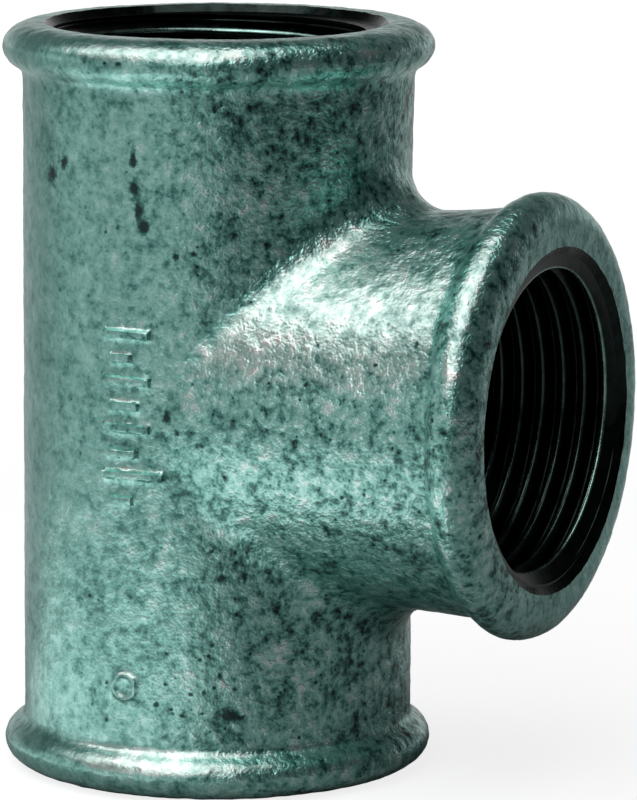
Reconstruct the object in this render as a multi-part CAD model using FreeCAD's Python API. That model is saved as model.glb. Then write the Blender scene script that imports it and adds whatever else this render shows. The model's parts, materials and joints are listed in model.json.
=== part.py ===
import FreeCAD
import Part

import math
import os

# Threaded pipe tee, nominal 1 inch, cast in one piece: a straight run with a branch square to it,
# and a rounded bead around each of the three mouths.
# Millimetres. The origin is the centre of the run's lower end face, +Z goes up the run's axis and
# +X goes out along the branch.

# From the crossing of the two axes to each end face
run_centre_to_face = 38.0
branch_centre_to_face = 38.0

# The parallel pipe thread in each mouth, here a smooth bore at the thread's major diameter. The
# thread ends in a cone where the tap ran out into the chamber.
thread_major_diameter = 33.249
mouth_chamfer = 0.8
run_out_angle = 45.0

# The chamber in the middle stands clear of the threads by this much in radius. Its inner corner is
# rounded, and a short straight wall is left between that corner and the threads' run-out.
chamber_relief = 0.5
branch_chamber_relief = 0.3
chamber_corner_radius = 1.3
chamber_land = 0.3

# The cast wall around the chamber, and the branch's barrel, which is a little slimmer than the run
# where it leaves the axis and a little stouter at its bead
wall = 2.75
branch_root_step = 0.25
branch_neck_growth = 0.45
crotch_radius = 5.0

# The bead around each mouth: how far it stands out of the run's wall, the radius of its rounded
# section and the hollow curve that leads from it to the barrel
bead_projection = 2.0
bead_section_radius = 3.1
bead_root_radius = 1.3

thread_radius = thread_major_diameter / 2
run_chamber_radius = thread_radius + chamber_relief
branch_chamber_radius = thread_radius + branch_chamber_relief
barrel_radius = run_chamber_radius + wall
branch_root_radius = barrel_radius - branch_root_step
branch_neck_radius = barrel_radius + branch_neck_growth
bead_radius = barrel_radius + bead_projection
crossing = FreeCAD.Vector(0, 0, run_centre_to_face)

up = FreeCAD.Vector(0, 0, 1)
down = FreeCAD.Vector(0, 0, -1)
outward = FreeCAD.Vector(1, 0, 0)


def point(radius, height):
    """A point of a half section, which is drawn in the XZ plane and turned about Z."""
    return FreeCAD.Vector(radius, 0, height)


def on_circle(centre, radius, angle):
    """The point of a circle in the half section at this angle, in radians up from +X."""
    return centre + point(radius * math.cos(angle), radius * math.sin(angle))


def line(start, end):
    return Part.makeLine(start, end)


def rounded(centre, radius, start_angle, end_angle):
    """The stretch of a circle between two angles."""
    start = on_circle(centre, radius, start_angle)
    middle = on_circle(centre, radius, (start_angle + end_angle) / 2)
    end = on_circle(centre, radius, end_angle)
    return Part.Arc(start, middle, end).toShape()


def turned(edges):
    """The solid that a closed half section sweeps in one full turn about Z."""
    section = Part.Face(Part.Wire(edges))
    return section.revolve(FreeCAD.Vector(0, 0, 0), up, 360)


def placed(shape, axis):
    """A leg drawn up Z from the crossing, turned to run out along the given axis."""
    turn = FreeCAD.Rotation(up, axis)
    moved = shape.copy()
    moved.Placement = FreeCAD.Placement(crossing, turn)
    return moved


def outer_leg(face_height, root_radius, neck_radius):
    """One leg's outside, from the crossing at height 0 to its end face, solid."""
    bead_centre = point(bead_radius - bead_section_radius, face_height - bead_section_radius)
    slope = math.atan2(neck_radius - root_radius, face_height)
    along = FreeCAD.Vector(math.sin(slope), 0, math.cos(slope))
    out = FreeCAD.Vector(math.cos(slope), 0, -math.sin(slope))

    # The root's circle touches both the bead's circle and the barrel's straight side
    root_line = point(root_radius, 0) + out * bead_root_radius
    to_bead = bead_centre - root_line
    centres_apart = bead_section_radius + bead_root_radius
    step_back = math.sqrt(centres_apart ** 2 - to_bead.dot(out) ** 2)
    root_centre = root_line + along * (to_bead.dot(along) - step_back)
    root_to_bead = bead_centre - root_centre

    root_start = math.pi - slope
    root_end = math.atan2(root_to_bead.z, root_to_bead.x)
    bead_start = root_end - math.pi
    bead_end = math.pi / 2
    barrel_top = on_circle(root_centre, bead_root_radius, root_start)
    bead_top = on_circle(bead_centre, bead_section_radius, bead_end)
    return turned([
        line(point(0, 0), point(root_radius, 0)),
        line(point(root_radius, 0), barrel_top),
        rounded(root_centre, bead_root_radius, root_start, root_end),
        rounded(bead_centre, bead_section_radius, bead_start, bead_end),
        line(bead_top, point(0, face_height)),
        line(point(0, face_height), point(0, 0)),
    ])


def inner_leg(face_height, chamber_radius, crossing_radius):
    """One leg's hollow, from the crossing at height 0 out through its mouth."""
    mouth_radius = thread_radius + mouth_chamfer
    run_out = (chamber_radius - thread_radius) / math.tan(math.radians(run_out_angle))
    chamber_end = crossing_radius + chamber_corner_radius + chamber_land
    corners = [
        point(0, 0),
        point(chamber_radius, 0),
        point(chamber_radius, chamber_end),
        point(thread_radius, chamber_end + run_out),
        point(thread_radius, face_height - mouth_chamfer),
        point(mouth_radius, face_height),
        point(0, face_height),
    ]
    ends = corners[1:] + corners[:1]
    return turned([line(start, end) for start, end in zip(corners, ends)])


def crossing_edges(shape, run_radius):
    """The edges of the saddle curve: on the run's cylinder, and neither level rings nor upright seams."""
    near = 0.05
    samples_per_edge = 9
    found = []
    for edge in shape.Edges:
        spread = edge.BoundBox
        samples = edge.discretize(samples_per_edge)
        on_run = all(abs(math.hypot(p.x, p.y) - run_radius) < near for p in samples)
        if on_run and spread.XLength > near and spread.ZLength > near:
            found.append(edge)
    return found


def tee(top, bottom, branch, run_radius, blend):
    """Two legs in line and a branch, in one solid, with the saddle curve rounded."""
    run = top.fuse(bottom).removeSplitter()
    joined = run.fuse(branch).removeSplitter()
    return joined.makeFillet(blend, crossing_edges(joined, run_radius))


def tee_outside():
    run_leg = outer_leg(run_centre_to_face, barrel_radius, barrel_radius)
    branch_leg = outer_leg(branch_centre_to_face, branch_root_radius, branch_neck_radius)
    return tee(placed(run_leg, up), placed(run_leg, down), placed(branch_leg, outward),
               barrel_radius, crotch_radius)


def tee_inside():
    run_leg = inner_leg(run_centre_to_face, run_chamber_radius, branch_chamber_radius)
    branch_leg = inner_leg(branch_centre_to_face, branch_chamber_radius, run_chamber_radius)
    return tee(placed(run_leg, up), placed(run_leg, down), placed(branch_leg, outward),
               run_chamber_radius, chamber_corner_radius)


def make_tee_body():
    return tee_outside().cut(tee_inside())


os.makedirs("parts", exist_ok=True)
make_tee_body().exportStep("parts/tee_body.step")
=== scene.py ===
import json
import math

import bpy
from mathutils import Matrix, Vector


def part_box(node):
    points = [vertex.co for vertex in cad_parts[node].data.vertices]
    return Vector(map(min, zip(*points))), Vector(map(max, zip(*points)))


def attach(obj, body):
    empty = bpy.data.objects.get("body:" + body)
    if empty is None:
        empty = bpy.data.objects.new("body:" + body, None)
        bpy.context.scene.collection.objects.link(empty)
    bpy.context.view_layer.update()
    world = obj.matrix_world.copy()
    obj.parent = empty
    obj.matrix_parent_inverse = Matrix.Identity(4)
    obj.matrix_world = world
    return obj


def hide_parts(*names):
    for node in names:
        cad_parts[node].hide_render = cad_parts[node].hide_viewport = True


# Threaded pipe tee: the galvanised casting's rough skin, its cut threads, its finishes and the studio.
# Metres. The origin is the centre of the run's lower end face, +Z goes up the run, +X along the branch.

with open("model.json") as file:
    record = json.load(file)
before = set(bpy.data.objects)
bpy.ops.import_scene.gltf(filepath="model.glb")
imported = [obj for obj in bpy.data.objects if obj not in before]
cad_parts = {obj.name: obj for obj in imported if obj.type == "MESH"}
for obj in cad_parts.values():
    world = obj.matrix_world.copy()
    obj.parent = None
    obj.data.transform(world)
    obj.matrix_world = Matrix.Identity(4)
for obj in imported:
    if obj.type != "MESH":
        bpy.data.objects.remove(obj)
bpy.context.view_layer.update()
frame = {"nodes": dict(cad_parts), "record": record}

MM = 0.001

# Points this close to each other are the same point
SAME_POINT = 0.001 * MM

# Sizes that the frame gives
box_low, box_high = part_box("tee_body")
MOUNTS = {mount["name"]: mount for mount in frame["record"]["mounts"]}
BORE_RADIUS = MOUNTS["branch_thread"]["dims"]["r_mm"] * MM
BORE_LENGTH = MOUNTS["branch_thread"]["dims"]["length_mm"] * MM
MOUTH_CHAMFER = box_high[0] - MOUNTS["branch_thread"]["pos_m"][0]
MOUTH_RADIUS = BORE_RADIUS + MOUTH_CHAMFER
RUN_LENGTH = box_high[2]
BRANCH_REACH = box_high[0]
BRANCH_HEIGHT = RUN_LENGTH / 2
BEAD_RADIUS = -box_low[0]

# The standard pipe thread's form: 11 threads to the inch, 55 degrees between flanks
THREAD_PITCH = 25.4 * MM / 11
THREAD_HEIGHT = 0.640327 * THREAD_PITCH
THREAD_ROUNDING = 0.137329 * THREAD_PITCH
FLANK_ANGLE = math.radians(27.5)
THREAD_STEPS = 128

# The first crest reaches its full height this far inside the chamfer, and the branch's thread is turned
# this far round its axis, so that its first crest starts where the photograph shows it
THREAD_START = 0.35 * MM
BRANCH_THREAD_TURN = math.pi

# The ridge stands this little proud of the bore between its crests, and this deep in the wall, with this
# gap between one turn and the next
THREAD_PROUD = 0.02 * MM
THREAD_SUNK = 0.28 * MM
THREAD_GAP = 0.02 * MM

# A rounded corner's top lies behind the sharp corner by this share of the depth at which its rounding
# starts, and the roots are rounded over this share of the standard length
ROUNDING_TOP = 0.5858
ROOT_SHARE = 0.9

# The cones that trim the ridge are drawn with this many sides
CONE_SIDES = 192

# The barrel of the run, and how far the crest of a bead lies behind its end face
BARREL_RADIUS = 19.87 * MM
BEAD_CREST_DEPTH = 2.7 * MM

# The casting's skin is netted finely, roughened by broad swells and small dimples, and then thinned where
# it is smooth. The roughness lifts the skin only where its pattern is above this level, from 0 to 1.
SKIN_VOXEL = 0.3 * MM
SKIN_TRIANGLES = 180000
SKIN_LEVEL = 0.78
SWELL_SIZE = 7 * MM
SWELL_HEIGHT = 0.14 * MM
DIMPLE_SIZE = 1.5 * MM
DIMPLE_HEIGHT = 0.18 * MM

# The moulded beads: each is drawn in towards its end face, to this share of its depth. The upper one and
# the branch's one sit a little off their barrels, the branch's one is a little taller than it is wide, and
# the top of the neck behind it is lifted. A bead's zone ends this far behind its end face, and what lies
# within reach of a moved zone follows it by less and less.
BEAD_ZONE = 6.2 * MM
ZONE_REACH = 4 * MM
BEAD_TUCK = 0.79
BRANCH_BEAD_TUCK = 0.87
UPPER_BEAD_SHIFT = 0.25 * MM
BRANCH_BEAD_LIFT = 0.30 * MM
BRANCH_BEAD_HEIGHTEN = 1.024
BRANCH_NECK_LIFT = 0.3 * MM
BRANCH_NECK_START = 26 * MM
BRANCH_NECK_BAND = 2 * MM

# The mouths: name, where the end face's centre is, and the turn that points a mouth drawn up Z that way
MOUTHS = {
    "run_top": (Vector((0, 0, RUN_LENGTH)), (0.0, 0.0, 0.0)),
    "run_bottom": (Vector((0, 0, 0)), (math.pi, 0.0, 0.0)),
    "branch": (Vector((BRANCH_REACH, 0, BRANCH_HEIGHT)), (0.0, math.pi / 2, 0.0)),
}

# The photograph's size and its camera, aimed at the crossing of the two axes and then slid in its own plane
PHOTO_WIDTH = 637
PHOTO_HEIGHT = 800
CAMERA_AZIMUTH = math.radians(26.4)
CAMERA_ELEVATION = math.radians(9.8)
CAMERA_ROLL = math.radians(0.09)
CAMERA_DISTANCE = 570.4 * MM
CAMERA_SLIDE_RIGHT = 10.32 * MM
CAMERA_SLIDE_UP = -0.80 * MM
CAMERA_LENS = 251.9

# The studio: softboxes by their angle round the object from the camera, their angle up, size and
# brightness, all aimed a little out along the branch
LAMP_DISTANCE = 0.8
LAMP_AIM = Vector((BRANCH_REACH / 5, 0, BRANCH_HEIGHT))
SOFTBOXES = (
    ("key", -20, 43, (0.58, 0.46), 1.8),
    ("key_left", -70, 58, (0.60, 0.50), 1.45),
    ("overhead", 0, 83, (0.60, 0.60), 1.4),
    ("left_high", -95, 42, (0.50, 0.40), 0.5),
    ("left_low", -90, 10, (0.60, 0.30), 0.6),
    ("front_low", -32, 15, (0.80, 0.30), 0.58),
)

# The pale floor, which the camera sees as white but for the shadow near the object
FLOOR_RADIUS = 3.0
FLOOR_COLOUR = (0.34, 0.34, 0.34, 1)
FLOOR_NEAR = 0.15
FLOOR_FAR = 0.6
FLOOR_WHITENING_NEAR = 0.82

# The metal mirrors the floor as shaded near the object. Further out the floor glows white for reflections
# alone, a painted reflection of a lit floor, on the lit side and dimly behind the object, at these angles
# round from the camera. The edge of each side and where it is full are cosines of the angle from its middle,
# and each grows to its full from the shaded radius to this many times that radius. The lit side then fades
# from its near value to its far one between two distances.
SHADED_RADIUS = 0.03
LIT_SIDE = -62
BEHIND_SIDE = 180
LIT_EDGE = 0.35
LIT_FULL = 0.8
LIT_GROWTH = 1.4
MIRRORED_NEAR = 0.92
MIRRORED_FAR = 0.2
MIRRORED_FROM = 0.05
MIRRORED_TO = 0.15
MIRRORED_BEHIND = 0.3
BEHIND_EDGE = 0.4
BEHIND_FULL = 0.95
BEHIND_GROWTH = 3

# The dim room, and the white backdrop: how bright the metal mirrors it, how far from straight behind the
# object it is full and ends, and how flat it is, as it stretches much further sideways than up
ROOM_LEVEL = 0.03
BACKDROP_MIRRORED = 0.7
BACKDROP_FULL = math.radians(15)
BACKDROP_EDGE = math.radians(70)
BACKDROP_FLATNESS = 4.5

# The raised marks, by the photograph's pixels: each bar's level, left end and right end, then the middle
# of the ring
MARK_BARS = (
    (334, 104, 150), (358, 109, 131), (381, 104, 150), (406, 108, 139),
    (428, 103, 150), (453, 108, 137), (475, 103, 164), (500, 108, 133),
)
MARK_BAR_HEIGHT = 0.9 * MM
MARK_RISE = 0.6 * MM
MARK_RING = (124, 687)
MARK_RING_RADIUS = 1.25 * MM
MARK_RING_THICKNESS = 0.6 * MM

# The stub that the gate left: how far it lies behind the crest of the branch's bead, how deep its middle
# lies in the bead, and its half sizes in mm
NUB_BEHIND = 0.2 * MM
NUB_SUNK = 0.7 * MM
NUB_HALF_SIZES = (1.7, 2.2, 1.5)

# A painted highlight, a whiter tint on the faces that mirror the key lamps: which way those faces look,
# round the object from the camera and up, the cosines of the angle from there at which it starts and is
# full, and its tint
PAINTED_HIGHLIGHT_SIDE = (-15, 37)
PAINTED_HIGHLIGHT_EDGE = 0.875
PAINTED_HIGHLIGHT_FULL = 0.965
PAINTED_HIGHLIGHT_TINT = (1.72, 1.05, 1.09, 1)

# The sand's grain, by how far a place appears to the right of the run's axis: its strength at the run's
# left side, its full strength and where that begins. The painted highlight takes this share of it away. Over
# the branch's bead it weakens between two places, down to the last share.
GRAIN_LEFT = 0.45
GRAIN_FULL = 1.3
GRAIN_FULL_FROM = 6 * MM
GRAIN_LOST_IN_PAINTED_HIGHLIGHT = 0.45
GRAIN_WEAKENS_FROM = 29 * MM
GRAIN_WEAKENS_TO = 33 * MM
GRAIN_ON_BRANCH_BEAD = 0.45

# The casting's tone, from 0 for the darkest to 1: its middle, then the size of each layer's lumps and how
# far they darken and lighten it, and the height of the two finest layers' relief
TONE_MIDDLE = 0.56
CLOUD_SIZE = 7 * MM
CLOUD_TONES = (-0.08, 0.08)
PATCH_SIZE = 2.2 * MM
PATCH_TONES = (-0.22, 0.18)
MOTTLE_SIZE = 0.95 * MM
MOTTLE_TONES = (-0.30, 0.26)
MOTTLE_RELIEF = 0.17 * MM
FINE_SIZE = 0.62 * MM
FINE_RELIEF = 0.028 * MM

# The dark specks and the smaller pits: cells per metre, size in cells, share of the cells, and darkness
SPECKS = (850.0, 0.26, 0.34, 0.32)
PITS = (1800.0, 0.38, 0.34, 0.19)

# The galvanised colours from the darkest tone to the lightest
GALVANISED_TONES = (
    (0.0, (0.006, 0.026, 0.024)),
    (0.25, (0.08, 0.26, 0.23)),
    (0.5, (0.265, 0.60, 0.53)),
    (0.75, (0.44, 0.80, 0.735)),
    (1.0, (0.76, 0.94, 0.90)),
)

# The dark stains, by the photograph's pixels: across, down, radius in mm, and how far each is drawn out
# along the run. They take this share of the tone, and their edges are ragged by lumps of this size.
STAIN_DARKNESS = 0.95
STAIN_RAG_SIZE = 0.8 * MM
STAINS = (
    (51, 174, 0.95, 1.3), (62, 162, 0.85, 1.0), (133, 160, 0.55, 2.2), (134, 190, 0.7, 1.8),
    (138, 212, 0.6, 2.0), (144, 226, 0.8, 1.2), (105, 232, 0.3, 1.2), (117, 228, 0.3, 1.2),
    (176, 257, 0.4, 1.0), (193, 254, 0.4, 0.8), (166, 418, 0.45, 2.0), (177, 434, 0.35, 1.2),
    (229, 716, 1.3, 0.7), (240, 718, 0.8, 0.4), (220, 676, 0.35, 1.6), (214, 688, 0.28, 1.0),
    (204, 693, 0.28, 1.0), (191, 695, 0.3, 0.8), (175, 678, 0.25, 1.0), (245, 578, 0.35, 2.5),
    (222, 578, 0.5, 0.9), (266, 754, 0.35, 1.2), (236, 746, 0.3, 1.2), (417, 345, 0.35, 1.2),
    (375, 365, 0.3, 1.0), (317, 345, 0.3, 1.0), (394, 128, 0.25, 5.0), (394, 150, 0.25, 5.0),
    (104, 63, 0.35, 0.6), (118, 64, 0.4, 0.5), (333, 77, 0.3, 1.0), (280, 62, 0.25, 1.0),
    (533, 232, 0.5, 1.6), (166, 654, 0.3, 1.0), (156, 705, 0.35, 1.0), (259, 688, 0.3, 1.0),
    (281, 693, 0.3, 1.0), (212, 646, 0.3, 1.0), (200, 660, 0.3, 1.0), (165, 685, 0.3, 0.8),
    (106, 683, 0.25, 1.0), (106, 720, 0.3, 1.0), (171, 710, 0.3, 0.7), (182, 716, 0.35, 0.6),
    (203, 714, 0.35, 0.6), (235, 690, 0.25, 1.2), (92, 704, 0.25, 1.0),
)

# The threads' crests, lighter from wear and from a painted highlight: bright up to this far outside the
# crest, and gone at this far. The painted highlight is brightest on the first turn, to this depth behind the
# end face, and the turns behind it, in painted shade, are this bright beside it.
CREST_BRIGHT_TO = 0.04 * MM
CREST_ENDS_AT = 0.2 * MM
FIRST_TURN_FULL = 2.6 * MM
FIRST_TURN_END = 3.2 * MM
INNER_TURNS_HIGHLIGHT = 0.19
CREST_WEAR_AND_HIGHLIGHT_COLOUR = (0.48, 0.78, 0.70, 1)
OIL_TONES = ((0.35, (0.003, 0.007, 0.006)), (0.7, (0.016, 0.034, 0.03)))


# Small steps that every piece uses

def select_only(*objects):
    bpy.ops.object.select_all(action="DESELECT")
    for obj in objects:
        obj.select_set(True)
    bpy.context.view_layer.objects.active = objects[0]


def edit(obj):
    select_only(obj)
    bpy.ops.object.mode_set(mode="EDIT")


def done():
    bpy.ops.object.mode_set(mode="OBJECT")


def added(name):
    """Names the object that an operator has just added."""
    obj = bpy.context.object
    obj.name = name
    obj.data.name = name
    return obj


def apply_place(obj):
    select_only(obj)
    bpy.ops.object.transform_apply(location=True, rotation=True, scale=True)


def apply_modifier(obj, kind, **values):
    select_only(obj)
    modifier = obj.modifiers.new(kind.lower(), kind)
    for key, value in values.items():
        setattr(modifier, key, value)
    bpy.ops.object.modifier_apply(modifier=modifier.name)


def select_faces(obj, wanted):
    """Selects just the faces whose centre passes the test."""
    edit(obj)
    bpy.context.tool_settings.mesh_select_mode = (False, False, True)
    bpy.ops.mesh.select_all(action="DESELECT")
    done()
    for face in obj.data.polygons:
        face.select = wanted(face.center)


def recalculate_normals(obj):
    edit(obj)
    bpy.ops.mesh.select_all(action="SELECT")
    bpy.ops.mesh.normals_make_consistent(inside=False)
    done()


def cut_away(obj, cutter, operation="DIFFERENCE"):
    """Cuts or joins with a second solid, whose faces bring their own finish with them."""
    apply_modifier(obj, "BOOLEAN", operation=operation, object=cutter, solver="MANIFOLD",
                   material_mode="TRANSFER")
    bpy.data.objects.remove(cutter)


def finish_with(obj, material):
    obj.data.materials.clear()
    obj.data.materials.append(material)


def seen_at(across, down):
    """Where this pixel of the photograph falls on the solid, and which way the surface faces there."""
    bpy.context.view_layer.update()
    camera = bpy.context.scene.camera
    per_pixel = camera.data.sensor_width / PHOTO_HEIGHT
    aim = Vector(((across - PHOTO_WIDTH / 2) * per_pixel, (PHOTO_HEIGHT / 2 - down) * per_pixel,
                  -camera.data.lens))
    solid = frame["nodes"]["tee_body"]
    hit, place, normal, _ = solid.ray_cast(camera.location, camera.matrix_world.to_3x3() @ aim)
    if not hit:
        raise ValueError("pixel %g, %g is off the casting" % (across, down))
    return place, normal


# The casting

def in_hollow(point):
    """True on the machined hollow: near enough to an axis, and on none of the three end faces."""
    close = 0.05 * MM
    if point.z > RUN_LENGTH - close or point.z < close or point.x > BRANCH_REACH - close:
        return False
    inside = MOUTH_RADIUS + 1 * MM
    from_run = math.hypot(point.x, point.y)
    from_branch = math.hypot(point.y, point.z - BRANCH_HEIGHT)
    return from_run < inside or (point.x > 0 and from_branch < inside)


def split_solid():
    """A merged copy of the solid, parted into its cast outside and its machined hollow."""
    select_only(frame["nodes"]["tee_body"])
    bpy.ops.object.duplicate()
    outside = added("tee_casting")
    edit(outside)
    bpy.ops.mesh.select_all(action="SELECT")
    bpy.ops.mesh.remove_doubles(threshold=SAME_POINT)
    bpy.ops.mesh.customdata_custom_splitnormals_clear()
    done()
    select_faces(outside, in_hollow)
    edit(outside)
    bpy.ops.mesh.separate(type="SELECTED")
    done()
    hollow = next(obj for obj in bpy.context.selected_objects if obj != outside)
    hollow.name = "hollow"
    return outside, hollow


def close_holes(obj):
    edit(obj)
    bpy.ops.mesh.select_all(action="SELECT")
    bpy.ops.mesh.fill_holes(sides=0)
    done()
    recalculate_normals(obj)


def spun_bar(name, left, right, height, rise):
    """A raised bar that lies round the run, between two points of its barrel and at their level."""
    start = math.atan2(left.y, left.x)
    turn = math.atan2(right.y, right.x) - start
    sunk = 0.5 * MM
    place = (BARREL_RADIUS + (rise - sunk) / 2, 0, (left.z + right.z) / 2)
    bpy.ops.mesh.primitive_plane_add(size=1, location=place, rotation=(math.pi / 2, 0, 0))
    bar = added(name)
    bar.scale = (rise + sunk, height, 1)
    apply_place(bar)
    bar.rotation_euler = (0, 0, start)
    apply_place(bar)
    edit(bar)
    bpy.ops.mesh.select_all(action="SELECT")
    bpy.ops.mesh.spin(steps=10, angle=-turn, center=(0, 0, 0), axis=(0, 0, 1))
    bpy.ops.mesh.select_all(action="SELECT")
    bpy.ops.mesh.remove_doubles(threshold=SAME_POINT)
    done()
    recalculate_normals(bar)
    return bar


def make_marks():
    """Plain raised bars, alternately long and short, down the run's side and a small ring below them."""
    marks = []
    for row, (level, left, right) in enumerate(MARK_BARS):
        ends = [seen_at(left, level)[0], seen_at(right, level)[0]]
        marks.append(spun_bar("mark_bar_%d" % row, *ends, MARK_BAR_HEIGHT, MARK_RISE))
    place, normal = seen_at(*MARK_RING)
    bpy.ops.mesh.primitive_torus_add(location=place, rotation=normal.to_track_quat("Z", "Y").to_euler(),
                                     major_radius=MARK_RING_RADIUS, minor_radius=MARK_RING_THICKNESS / 2,
                                     major_segments=32, minor_segments=12)
    marks.append(added("mark_ring"))
    return marks


def make_nub():
    """The stub that the gate left on top of the branch's bead."""
    place = (BRANCH_REACH - BEAD_CREST_DEPTH - NUB_BEHIND, 0, BRANCH_HEIGHT + BEAD_RADIUS - NUB_SUNK)
    bpy.ops.mesh.primitive_uv_sphere_add(segments=24, ring_count=16, radius=MM, location=place)
    nub = added("gate_nub")
    nub.scale = NUB_HALF_SIZES
    apply_place(nub)
    return nub


def select_points(obj, inside):
    edit(obj)
    bpy.context.tool_settings.mesh_select_mode = (True, False, False)
    bpy.ops.mesh.select_all(action="DESELECT")
    done()
    obj.data.vertices.foreach_set("select", [inside(vertex.co) for vertex in obj.data.vertices])


def shift_zone(obj, inside, move):
    """Moves the points that pass the test, and those within reach of them by less and less."""
    select_points(obj, inside)
    edit(obj)
    bpy.ops.transform.translate(value=move, use_proportional_edit=True,
                                proportional_edit_falloff="SMOOTH", proportional_size=ZONE_REACH)
    done()


def scale_zone(obj, inside, centre, scale):
    """Scales the points that pass the test about a centre, and those within reach by less and less."""
    select_points(obj, inside)
    edit(obj)
    bpy.ops.transform.resize(value=scale, center_override=centre, use_proportional_edit=True,
                             proportional_edit_falloff="SMOOTH", proportional_size=ZONE_REACH)
    done()


def in_upper_bead(point):
    return point.z > RUN_LENGTH - BEAD_ZONE


def in_lower_bead(point):
    return point.z < BEAD_ZONE


def in_branch_bead(point):
    return point.x > BRANCH_REACH - BEAD_ZONE


def in_branch_neck(point):
    """True on top of the branch's barrel, close behind its bead."""
    on_top = point.z > BRANCH_HEIGHT + BARREL_RADIUS - BRANCH_NECK_BAND
    return on_top and BRANCH_NECK_START < point.x < BRANCH_REACH - BEAD_ZONE


def shape_beads(obj):
    """Tucks each bead in towards its end face, sets two of them off their barrels and lifts the neck."""
    run_top, run_bottom, branch = (centre for centre, _ in MOUTHS.values())
    scale_zone(obj, in_upper_bead, run_top, (1, 1, BEAD_TUCK))
    scale_zone(obj, in_lower_bead, run_bottom, (1, 1, BEAD_TUCK))
    scale_zone(obj, in_branch_bead, branch, (BRANCH_BEAD_TUCK, 1, BRANCH_BEAD_HEIGHTEN))
    shift_zone(obj, in_upper_bead, (UPPER_BEAD_SHIFT, 0, 0))
    shift_zone(obj, in_branch_bead, (0, 0, BRANCH_BEAD_LIFT))
    shift_zone(obj, in_branch_neck, (0, 0, BRANCH_NECK_LIFT))


def roughen(obj, name, wavelength, depth, height):
    """Sinks the skin here and there, and hardly lifts it, so it stays in the solid's box."""
    unevenness = bpy.data.textures.new(name, "CLOUDS")
    unevenness.noise_scale = wavelength
    unevenness.noise_depth = depth
    unevenness.noise_basis = "IMPROVED_PERLIN"
    apply_modifier(obj, "DISPLACE", texture=unevenness, texture_coords="LOCAL", mid_level=SKIN_LEVEL,
                   strength=height)
    bpy.data.textures.remove(unevenness)


def triangle_count(obj):
    return sum(len(face.vertices) - 2 for face in obj.data.polygons)


def rough_skin(outside):
    """Closes the outside over the mouths, adds what stands out of it and roughens it like a sand casting."""
    close_holes(outside)
    shape_beads(outside)
    for raised in make_marks() + [make_nub()]:
        cut_away(outside, raised, operation="UNION")
    select_only(outside)
    outside.data.remesh_voxel_size = SKIN_VOXEL
    bpy.ops.object.voxel_remesh()
    apply_modifier(outside, "SMOOTH", factor=0.5, iterations=3)
    roughen(outside, "casting_swells", SWELL_SIZE, 1, SWELL_HEIGHT)
    roughen(outside, "casting_dimples", DIMPLE_SIZE, 2, DIMPLE_HEIGHT)
    apply_modifier(outside, "DECIMATE", ratio=min(1.0, SKIN_TRIANGLES / triangle_count(outside)))


def hollow_cutter(hollow):
    """Runs the hollow out past each mouth, on the slope of its chamfer, and closes it."""
    past = 1.0 * MM
    close = 0.02 * MM
    widened = (MOUTH_RADIUS + past) / MOUTH_RADIUS
    for centre, _ in MOUTHS.values():
        outward = centre - Vector((0, 0, BRANCH_HEIGHT))
        outward.normalize()
        edit(hollow)
        bpy.context.tool_settings.mesh_select_mode = (False, True, False)
        bpy.ops.mesh.select_all(action="DESELECT")
        done()
        points = hollow.data.vertices
        for edge in hollow.data.edges:
            ends = [points[i].co for i in edge.vertices]
            edge.select = all(abs((end - centre).dot(outward)) < close for end in ends)
        edit(hollow)
        scale = [1.0 if abs(part) > 0.5 else widened for part in outward]
        bpy.ops.mesh.extrude_region_move(TRANSFORM_OT_translate={"value": outward * past})
        bpy.ops.transform.resize(value=scale, center_override=centre + outward * past)
        done()
    close_holes(hollow)
    return hollow


def make_casting(galvanised, cut_metal):
    outside, hollow = split_solid()
    finish_with(outside, galvanised)
    finish_with(hollow, cut_metal)
    rough_skin(outside)
    cut_away(outside, hollow_cutter(hollow))
    select_only(outside)
    bpy.ops.object.shade_smooth_by_angle(angle=math.radians(35))
    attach(outside, "root")
    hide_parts("tee_body")
    return outside


# The threads

def drawn_outline(name, points):
    """A closed outline, drawn from one point to the next as by hand."""
    bpy.ops.mesh.primitive_plane_add(size=MM, location=points[0])
    outline = added(name)
    apply_place(outline)
    edit(outline)
    bpy.context.tool_settings.mesh_select_mode = (True, False, False)
    bpy.ops.mesh.merge(type="CENTER")
    for start, end in zip(points, points[1:]):
        bpy.ops.mesh.extrude_vertices_move(TRANSFORM_OT_translate={"value": Vector(end) - Vector(start)})
    bpy.ops.mesh.select_all(action="SELECT")
    bpy.ops.mesh.edge_face_add()
    done()
    return outline


def soften_corner(obj, place, offset, segments):
    """Rounds the corners that lie at this distance from the axis."""
    edit(obj)
    bpy.ops.mesh.select_all(action="DESELECT")
    done()
    chosen = [abs(vertex.co.x - place) < SAME_POINT for vertex in obj.data.vertices]
    obj.data.vertices.foreach_set("select", chosen)
    edit(obj)
    bpy.ops.mesh.bevel(offset=offset, segments=segments, affect="VERTICES")
    done()


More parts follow.
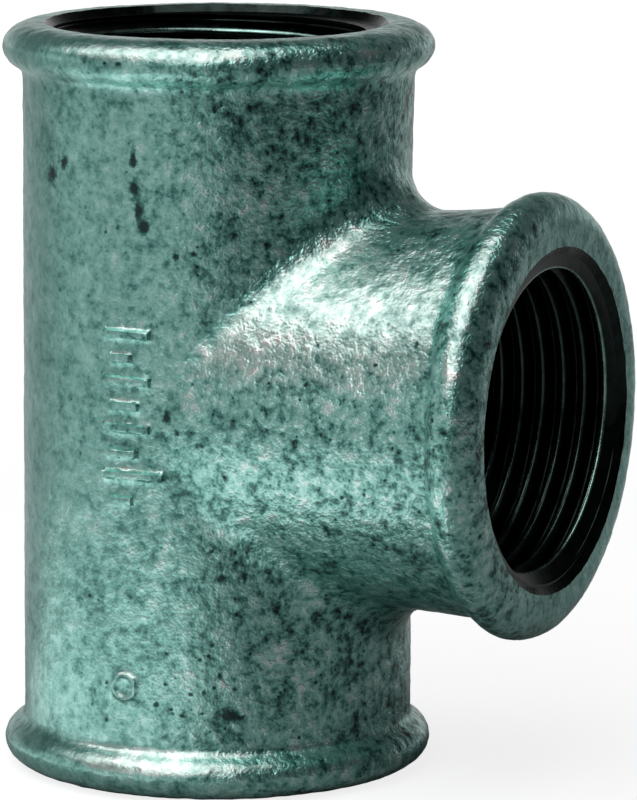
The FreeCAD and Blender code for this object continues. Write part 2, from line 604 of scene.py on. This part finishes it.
def ridge_section():
    """The section of one turn of the ridge: a rounded crest between two hollow roots."""
    floor = BORE_RADIUS - THREAD_PROUD
    half = THREAD_PITCH / 2 - THREAD_GAP / 2
    flare = THREAD_ROUNDING * math.tan((math.pi / 2 - FLANK_ANGLE) / 2)
    foot = THREAD_PITCH / 2 - flare
    sharp_crest = floor - foot / math.tan(FLANK_ANGLE)
    crest = BORE_RADIUS - THREAD_HEIGHT

    # The feet lie this little off the floor, so that their corners are told from the floor's ends
    foot_radius = floor + 2 * SAME_POINT
    section = drawn_outline("thread_ridge", [
        (BORE_RADIUS + THREAD_SUNK, 0, -half),
        (floor, 0, -half),
        (foot_radius, 0, -foot),
        (sharp_crest, 0, 0),
        (foot_radius, 0, foot),
        (floor, 0, half),
        (BORE_RADIUS + THREAD_SUNK, 0, half),
    ])
    cut_back = (crest - sharp_crest) / (ROUNDING_TOP * math.cos(FLANK_ANGLE))
    soften_corner(section, sharp_crest, cut_back, 5)
    soften_corner(section, foot_radius, ROOT_SHARE * flare, 3)
    return section


def cut_cone(form, name, low_radius, high_radius, depth, middle):
    """Cuts away a cone that stands on the axis with its middle at this height."""
    bpy.ops.mesh.primitive_cone_add(vertices=CONE_SIDES, radius1=low_radius, radius2=high_radius,
                                    depth=depth, location=(0, 0, middle))
    cut_away(form, added(name))


def make_thread_form():
    """A mouth's helical ridge, drawn with the end face at Z 0 and the mouth opening up Z."""
    form = ridge_section()
    edit(form)
    bpy.ops.mesh.select_all(action="SELECT")
    bpy.ops.mesh.delete(type="ONLY_FACE")
    done()
    turns = math.ceil(BORE_LENGTH / THREAD_PITCH) + 2
    form.location = (0, 0, -(turns - 0.5) * THREAD_PITCH)
    apply_place(form)
    apply_modifier(form, "SCREW", axis="Z", angle=2 * math.pi, screw_offset=THREAD_PITCH,
                   iterations=turns, steps=THREAD_STEPS, render_steps=THREAD_STEPS, use_merge_vertices=False)
    close_holes(form)

    # The countersink, the steeper start across the first crest, then the tap's run-out at the chamber
    above = 4 * MM
    cut_cone(form, "countersink", BORE_RADIUS, MOUTH_RADIUS + above,
             above + MOUTH_CHAMFER, (above - MOUTH_CHAMFER) / 2)
    start_depth = THREAD_START * BORE_RADIUS / THREAD_HEIGHT
    overlap = 0.02 * MM
    cut_cone(form, "thread_start", 0, BORE_RADIUS, start_depth, overlap - MOUTH_CHAMFER - start_depth / 2)
    end = -(MOUTH_CHAMFER + BORE_LENGTH)
    below = 12 * MM
    inside = 4 * MM
    cut_cone(form, "run_out", BORE_RADIUS + below, BORE_RADIUS - inside,
             below + inside, end - below / 2 + inside / 2)
    return form


def make_threads(cut_metal):
    form = make_thread_form()
    for name, (centre, turn) in MOUTHS.items():
        select_only(form)
        bpy.ops.object.duplicate()
        thread = added(name + "_thread")
        if name == "branch":
            thread.rotation_euler = (0, 0, BRANCH_THREAD_TURN)
            apply_place(thread)
        thread.rotation_euler = turn
        thread.location = centre
        apply_place(thread)
        bpy.ops.object.shade_smooth_by_angle(angle=math.radians(40))
        finish_with(thread, cut_metal)
        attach(thread, "root")
    bpy.data.objects.remove(form)


# The finishes

def new_material(name):
    material = bpy.data.materials.new(name)
    material.use_nodes = True
    tree = material.node_tree
    return material, tree, tree.nodes["Principled BSDF"]


def plug(tree, socket, value):
    """Links a socket to another node's output, or sets its value."""
    if isinstance(value, bpy.types.NodeSocket):
        tree.links.new(value, socket)
    else:
        socket.default_value = value


def plug_all(tree, made, values):
    """Gives a node's sockets their values or links, by the sockets' names or numbers."""
    for socket, value in values.items():
        plug(tree, made.inputs[socket], value)


def node(tree, kind, values=None, **settings):
    """Adds a node with its settings, and gives its sockets values or links."""
    made = tree.nodes.new(kind)
    for key, value in settings.items():
        setattr(made, key, value)
    plug_all(tree, made, values or {})
    return made


def math_node(tree, operation, first, second=0.0, clamp=False):
    made = node(tree, "ShaderNodeMath", {0: first, 1: second}, operation=operation, use_clamp=clamp)
    return made.outputs[0]


def product(tree, first, second):
    return math_node(tree, "MULTIPLY", first, second)


def one_minus(tree, value):
    return math_node(tree, "SUBTRACT", 1.0, value)


def vector_node(tree, operation, *vectors):
    return node(tree, "ShaderNodeVectorMath", dict(enumerate(vectors)), operation=operation).outputs


def dot(tree, first, second):
    return vector_node(tree, "DOT_PRODUCT", first, second)["Value"]


def length(tree, vector):
    return vector_node(tree, "LENGTH", vector)["Value"]


def spread(tree, value, low, high, to_low=0.0, to_high=1.0, smooth=False):
    """Maps a value's range to another, clamped at both ends."""
    kind = "SMOOTHSTEP" if smooth else "LINEAR"
    mapped = node(tree, "ShaderNodeMapRange", {"Value": value, "From Min": low, "From Max": high,
                                               "To Min": to_low, "To Max": to_high}, interpolation_type=kind)
    return mapped.outputs[0]


def noise(tree, where, wavelength, detail=2.0, roughness=0.5):
    """Cloudy noise with lumps of this size in metres."""
    made = node(tree, "ShaderNodeTexNoise", {"Vector": where, "Scale": 1 / wavelength, "Detail": detail,
                                             "Roughness": roughness})
    return made.outputs["Fac"]


def new_group(name, inputs, output):
    """A shader node group with named sockets; gives back its tree, its inputs and its output socket."""
    group = bpy.data.node_groups.new(name, "ShaderNodeTree")
    for socket, kind in inputs.items():
        group.interface.new_socket(socket, in_out="INPUT", socket_type=kind)
    group.interface.new_socket(output, in_out="OUTPUT", socket_type="NodeSocketFloat")
    given = group.nodes.new("NodeGroupInput").outputs
    return group, given, group.nodes.new("NodeGroupOutput").inputs[output]


def use_group(tree, group, values):
    return node(tree, "ShaderNodeGroup", values, node_tree=group).outputs


def specks_group():
    """Round specks of one size, scattered over the surface: most cells of the pattern stay empty."""
    group, given, mask = new_group("scattered_specks", {
        "Place": "NodeSocketVector", "Cells per metre": "NodeSocketFloat",
        "Speck size": "NodeSocketFloat", "Share": "NodeSocketFloat",
    }, "Mask")
    cells = node(group, "ShaderNodeTexVoronoi", {"Vector": given["Place"], "Scale": given["Cells per metre"],
                                                 "Randomness": 1.0})
    parts = node(group, "ShaderNodeSeparateColor", {"Color": cells.outputs["Color"]})
    chosen = math_node(group, "LESS_THAN", parts.outputs[0], given["Share"])
    size = product(group, given["Speck size"], spread(group, parts.outputs[1], 0, 1, 0.4, 1.0))
    inner = product(group, size, 0.5)
    near = spread(group, cells.outputs["Distance"], inner, size, 1.0, 0.0)
    plug(group, mask, product(group, near, chosen))
    return group


def stain_group():
    """One stain, at its own place on the surface, whose edge the given raggedness moves in and out."""
    group, given, mask = new_group("ragged_stain", {
        "Place": "NodeSocketVector", "Raggedness": "NodeSocketFloat", "Centre": "NodeSocketVector",
        "Stretch": "NodeSocketVector", "Radius": "NodeSocketFloat",
    }, "Mask")
    away = vector_node(group, "SUBTRACT", given["Place"], given["Centre"])[0]
    distance = length(group, vector_node(group, "DIVIDE", away, given["Stretch"])[0])
    edge = product(group, given["Radius"], given["Raggedness"])
    inner = product(group, edge, 0.4)
    plug(group, mask, spread(group, distance, inner, edge, 1.0, 0.0))
    return group


def colour_ramp(tree, value, stops):
    ramp = node(tree, "ShaderNodeValToRGB", {"Fac": value})
    elements = ramp.color_ramp.elements
    while len(elements) < len(stops):
        elements.new(1.0)
    for element, (place, colour) in zip(elements, stops):
        element.position = place
        element.color = (*colour, 1)
    return ramp.outputs["Color"]


def mixed_colour(tree, share, first, second, **settings):
    values = {0: share, 6: first, 7: second}
    return node(tree, "ShaderNodeMix", values, data_type="RGBA", **settings).outputs[2]


def give_relief(tree, shader, height):
    """Makes the surface look raised by this height in metres, without moving it."""
    bump = node(tree, "ShaderNodeBump", {"Height": height, "Strength": 1.0, "Distance": 1.0})
    plug(tree, shader.inputs["Normal"], bump.outputs["Normal"])


def painted_highlight_mask(tree):
    """Painted highlight: whiter colour on the faces towards the upper left in front, which mirror the key
    lamps.
    """
    facing = node(tree, "ShaderNodeNewGeometry").outputs["Normal"]
    return spread(tree, dot(tree, facing, from_camera(*PAINTED_HIGHLIGHT_SIDE)), PAINTED_HIGHLIGHT_EDGE, PAINTED_HIGHLIGHT_FULL, smooth=True)


def grain_strength(tree, where, painted_highlight):
    """How strong the grain is: finer towards the run's left side, in the painted highlight and on the
    branch's bead.
    """
    across = dot(tree, where, camera_axes()[0])
    strength = spread(tree, across, -BARREL_RADIUS, GRAIN_FULL_FROM, GRAIN_LEFT, GRAIN_FULL)
    strength = product(tree, strength, one_minus(tree, product(tree, painted_highlight, GRAIN_LOST_IN_PAINTED_HIGHLIGHT)))
    weaker = spread(tree, across, GRAIN_WEAKENS_FROM, GRAIN_WEAKENS_TO, 1.0, GRAIN_ON_BRANCH_BEAD)
    return product(tree, strength, weaker)


def stain_cover(tree, where, group, stains):
    """How deep in a stain each place lies: 0 outside them all, and 1 in the middle of one."""
    rag = noise(tree, where, STAIN_RAG_SIZE, 3.0, 0.7)
    ragged = spread(tree, rag, 0.3, 0.7, 0.5, 1.7)
    cover = 0.0
    for place, radius, stretch in stains:
        mask = use_group(tree, group, {"Place": where, "Raggedness": ragged, "Centre": place,
                                       "Radius": radius, "Stretch": stretch})["Mask"]
        cover = math_node(tree, "MAXIMUM", cover, mask)
    return cover


def casting_tone(tree, where, mottle, strength, groups, stains):
    """The casting's tone: broad clouds, the sand's patches and mottle, dark specks and pits, and stains."""
    clouds = spread(tree, noise(tree, where, CLOUD_SIZE), 0.35, 0.65, *CLOUD_TONES)
    patches = spread(tree, noise(tree, where, PATCH_SIZE), 0.3, 0.7, *PATCH_TONES)
    grain = math_node(tree, "ADD", spread(tree, mottle, 0.3, 0.7, *MOTTLE_TONES), patches)
    for cells, size, share, darkness in (SPECKS, PITS):
        mask = use_group(tree, groups["specks"], {"Place": where, "Cells per metre": cells,
                                                  "Speck size": size, "Share": share})["Mask"]
        grain = math_node(tree, "SUBTRACT", grain, product(tree, mask, darkness))
    tone = math_node(tree, "ADD", TONE_MIDDLE, clouds)
    tone = math_node(tree, "ADD", tone, product(tree, grain, strength), clamp=True)
    cover = stain_cover(tree, where, groups["stain"], stains)
    return product(tree, tone, one_minus(tree, product(tree, cover, STAIN_DARKNESS)))


def make_galvanised(groups, stains):
    material, tree, shader = new_material("galvanised_casting")
    where = node(tree, "ShaderNodeTexCoord").outputs["Object"]
    painted_highlight = painted_highlight_mask(tree)
    strength = grain_strength(tree, where, painted_highlight)
    mottle = noise(tree, where, MOTTLE_SIZE, 2.0, 0.72)
    tone = casting_tone(tree, where, mottle, strength, groups, stains)
    colour = colour_ramp(tree, tone, GALVANISED_TONES)
    # Painted highlight: the colour is tinted whiter on the faces that mirror the key lamps
    with_painted_highlight = mixed_colour(tree, painted_highlight, colour, PAINTED_HIGHLIGHT_TINT, blend_type="MULTIPLY", clamp_result=True)
    plug_all(tree, shader, {
        "Base Color": with_painted_highlight, "Metallic": 0.85, "Coat Weight": 0.5, "Coat Roughness": 0.22,
        "Roughness": spread(tree, tone, 0.2, 0.8, 0.37, 0.27),
    })
    fine = noise(tree, where, FINE_SIZE, 1.5, 0.55)
    relief = math_node(tree, "ADD", product(tree, fine, FINE_RELIEF), product(tree, mottle, MOTTLE_RELIEF))
    give_relief(tree, shader, product(tree, relief, strength))
    return material


def from_axis_and_crossing(tree, where):
    """How far a place lies from its mouth's axis, and how far it lies from the crossing along that axis."""
    parts = node(tree, "ShaderNodeSeparateXYZ", {0: where}).outputs
    level = math_node(tree, "SUBTRACT", parts["Z"], BRANCH_HEIGHT)

    def radius(first, second):
        both = math_node(tree, "ADD", product(tree, first, first), product(tree, second, second))
        return math_node(tree, "SQRT", both)

    in_branch = math_node(tree, "GREATER_THAN", parts["X"], BARREL_RADIUS - 1 * MM)
    from_axis = {0: in_branch, 2: radius(parts["X"], parts["Y"]), 3: radius(parts["Y"], level)}
    from_crossing = {0: in_branch, 2: math_node(tree, "ABSOLUTE", level), 3: parts["X"]}
    return [node(tree, "ShaderNodeMix", values).outputs[0] for values in (from_axis, from_crossing)]


def make_cut_metal():
    """The threads' bare iron: black with oil in the roots, brighter on the crests from wear and a painted
    highlight.
    """
    material, tree, shader = new_material("cut_thread_metal")
    where = node(tree, "ShaderNodeTexCoord").outputs["Object"]
    from_axis, from_crossing = from_axis_and_crossing(tree, where)
    crest_radius = BORE_RADIUS - THREAD_HEIGHT
    # Crests lighter from wear and a painted highlight, most on the first turn by the mouth, with painted
    # shade further in
    crest = spread(tree, from_axis, crest_radius + CREST_BRIGHT_TO, crest_radius + CREST_ENDS_AT, 1.0, 0.0)
    first_turn_highlight = spread(tree, from_crossing, BRANCH_REACH - FIRST_TURN_END, BRANCH_REACH - FIRST_TURN_FULL,
                        INNER_TURNS_HIGHLIGHT, 1.0)
    dirt = noise(tree, where, 1.6 * MM, 3.0, 0.6)
    worn_and_highlit = product(tree, crest, spread(tree, dirt, 0.35, 0.65, 0.5, 1.0))
    worn_and_highlit = product(tree, worn_and_highlit, first_turn_highlight)
    oily = colour_ramp(tree, dirt, OIL_TONES)
    plug_all(tree, shader, {
        "Base Color": mixed_colour(tree, worn_and_highlit, oily, CREST_WEAR_AND_HIGHLIGHT_COLOUR), "Metallic": 1.0,
        "Coat Weight": 0.25, "Coat Roughness": 0.1,
        "Roughness": spread(tree, dirt, 0.3, 0.7, 0.18, 0.32),
    })
    scratches = noise(tree, where, 0.4 * MM)
    give_relief(tree, shader, product(tree, scratches, 0.02 * MM))
    return material


# The studio

def camera_axes():
    """The directions right, up and forwards of the photograph's camera, before its roll."""
    flat = math.cos(CAMERA_ELEVATION)
    forward = Vector((-math.sin(CAMERA_AZIMUTH) * flat, math.cos(CAMERA_AZIMUTH) * flat,
                      -math.sin(CAMERA_ELEVATION)))
    right = Vector((math.cos(CAMERA_AZIMUTH), math.sin(CAMERA_AZIMUTH), 0))
    return right, right.cross(forward), forward


def make_camera():
    right, up, forward = camera_axes()
    bpy.ops.object.camera_add()
    camera = bpy.context.object
    camera.data.lens = CAMERA_LENS
    camera.data.clip_start = 0.01
    target = Vector((0, 0, BRANCH_HEIGHT))
    camera.location = (target - forward * CAMERA_DISTANCE + right * CAMERA_SLIDE_RIGHT
                       + up * CAMERA_SLIDE_UP)
    level = forward.to_track_quat("-Z", "Y").to_matrix()
    rolled = level @ level.Rotation(CAMERA_ROLL, 3, "Z")
    camera.rotation_euler = rolled.to_euler()
    bpy.context.scene.camera = camera


def from_camera(side, height):
    """The direction at this angle round the object from the camera, to its right, and this angle up."""
    around = CAMERA_AZIMUTH + math.radians(side)
    rise = math.radians(height)
    return Vector((math.sin(around) * math.cos(rise), -math.cos(around) * math.cos(rise), math.sin(rise)))


def add_softbox(name, side, height, size, brightness):
    """A rectangular lamp that faces the object, as bright as a lit surface of this value."""
    direction = from_camera(side, height)
    bpy.ops.object.light_add(type="AREA", location=LAMP_AIM + direction * LAMP_DISTANCE)
    lamp = bpy.context.object
    lamp.name = name
    lamp.data.shape = "RECTANGLE"
    lamp.data.size, lamp.data.size_y = size
    lamp.data.energy = brightness * math.pi * size[0] * size[1]
    lamp.rotation_euler = (-direction).to_track_quat("-Z", "Y").to_euler()
    lamp.visible_camera = False


def seen_and_mirrored(tree):
    """Two masks: what the camera sees itself, and what it sees in the metal."""
    path = node(tree, "ShaderNodeLightPath").outputs
    mirrored = math_node(tree, "MAXIMUM", path["Is Glossy Ray"], path["Is Transmission Ray"])
    return path["Is Camera Ray"], mirrored


def make_world():
    """A dim room with a white backdrop, which the camera sees all round and the metal sees behind it."""
    world = bpy.data.worlds.new("studio")
    world.use_nodes = True
    bpy.context.scene.world = world
    tree = world.node_tree
    tree.nodes.clear()
    facing = node(tree, "ShaderNodeTexCoord").outputs["Generated"]
    steep = vector_node(tree, "MULTIPLY", facing, (1, 1, BACKDROP_FLATNESS))[0]
    behind = dot(tree, vector_node(tree, "NORMALIZE", steep)[0], from_camera(BEHIND_SIDE, 0))
    backdrop = spread(tree, behind, math.cos(BACKDROP_EDGE), math.cos(BACKDROP_FULL))
    seen, mirrored = seen_and_mirrored(tree)
    mirrored = product(tree, mirrored, product(tree, backdrop, BACKDROP_MIRRORED))
    white = math_node(tree, "MAXIMUM", seen, mirrored)
    lit = node(tree, "ShaderNodeBackground", {"Color": (1, 1, 1, 1), "Strength": ROOM_LEVEL})
    pure = node(tree, "ShaderNodeBackground", {"Color": (1, 1, 1, 1), "Strength": 1.0})
    mix = node(tree, "ShaderNodeMixShader", {"Fac": white, 1: lit.outputs[0], 2: pure.outputs[0]})
    node(tree, "ShaderNodeOutputWorld", {"Surface": mix.outputs[0]})


def painted_floor_glow(tree, where, away, side, edge, full, growth, brightness):
    """Painted reflection: floor that glows white for the metal alone, on one side and outside the shaded
    radius.
    """
    cosine = math_node(tree, "DIVIDE", dot(tree, where, from_camera(side, 0)), away)
    lit = spread(tree, cosine, edge, full, 0.0, brightness)
    return product(tree, lit, spread(tree, away, SHADED_RADIUS, growth * SHADED_RADIUS))


def make_floor():
    bpy.ops.mesh.primitive_circle_add(vertices=96, radius=FLOOR_RADIUS, fill_type="NGON")
    floor = added("floor")
    material, tree, shader = new_material("pale_floor")
    where = node(tree, "ShaderNodeTexCoord").outputs["Object"]
    away = length(tree, where)
    seen, mirrored = seen_and_mirrored(tree)
    painted_lit_side = painted_floor_glow(tree, where, away, LIT_SIDE, LIT_EDGE, LIT_FULL, LIT_GROWTH, 1.0)
    painted_lit_side = product(tree, painted_lit_side,
                       spread(tree, away, MIRRORED_FROM, MIRRORED_TO, MIRRORED_NEAR, MIRRORED_FAR))
    behind = painted_floor_glow(tree, where, away, BEHIND_SIDE, BEHIND_EDGE, BEHIND_FULL, BEHIND_GROWTH,
                           MIRRORED_BEHIND)
    # Painted reflection: the floor glows only for glossy rays, so only the metal sees this white
    mirrored = product(tree, mirrored, math_node(tree, "MAXIMUM", painted_lit_side, behind))
    whitening = spread(tree, away, FLOOR_NEAR, FLOOR_FAR, FLOOR_WHITENING_NEAR, 1.0)
    plug_all(tree, shader, {
        "Base Color": FLOOR_COLOUR, "Roughness": 0.9, "Specular IOR Level": 0.2,
        "Emission Color": (1, 1, 1, 1),
        "Emission Strength": math_node(tree, "MAXIMUM", product(tree, seen, whitening), mirrored),
    })
    finish_with(floor, material)


def make_studio():
    bpy.context.scene.view_settings.view_transform = "Standard"
    make_world()
    make_floor()
    for softbox in SOFTBOXES:
        add_softbox(*softbox)


def stains_seen():
    """Where each stain lies on the casting, its radius and its stretch."""
    return [(seen_at(across, down)[0], radius * MM, (1, 1, along))
            for across, down, radius, along in STAINS]


make_camera()
finish_groups = {"specks": specks_group(), "stain": stain_group()}
galvanised = make_galvanised(finish_groups, stains_seen())
cut_metal = make_cut_metal()
casting = make_casting(galvanised, cut_metal)
make_threads(cut_metal)
make_studio()
